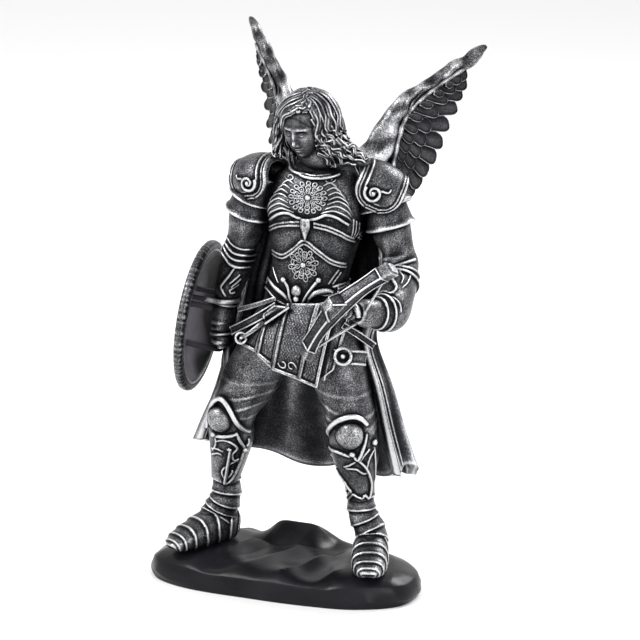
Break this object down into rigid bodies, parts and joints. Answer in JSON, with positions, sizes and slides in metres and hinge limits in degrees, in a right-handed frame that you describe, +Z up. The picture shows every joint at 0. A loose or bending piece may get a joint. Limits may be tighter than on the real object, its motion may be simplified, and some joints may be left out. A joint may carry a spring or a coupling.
{
  "type": "warrior angel figurine",
  "caption": "Cold-cast resin figurine of a winged warrior in plate armour and a long coat, standing on a rock base with a round shield and a hand crossbow.",
  "frame": {"origin": "middle of the rock base's flat underside", "axes": "+Z up; the figure faces -Y, with its left hand towards +X"},
  "size_m": [0.1443, 0.1218, 0.2647],
  "materials": {
    "antique_silver": "cold-cast resin with an antiqued silver finish, dark in the hollows and bright on the edges",
    "black_rock": "cold-cast resin, satin black"
  },
  "bodies": {
    "root": {"rock_base": "black_rock", "angel_figure": "antique_silver", "left_wing": "antique_silver", "right_wing": "antique_silver", "shield": "antique_silver", "crossbow": "antique_silver"}
  },
  "joints": []
}
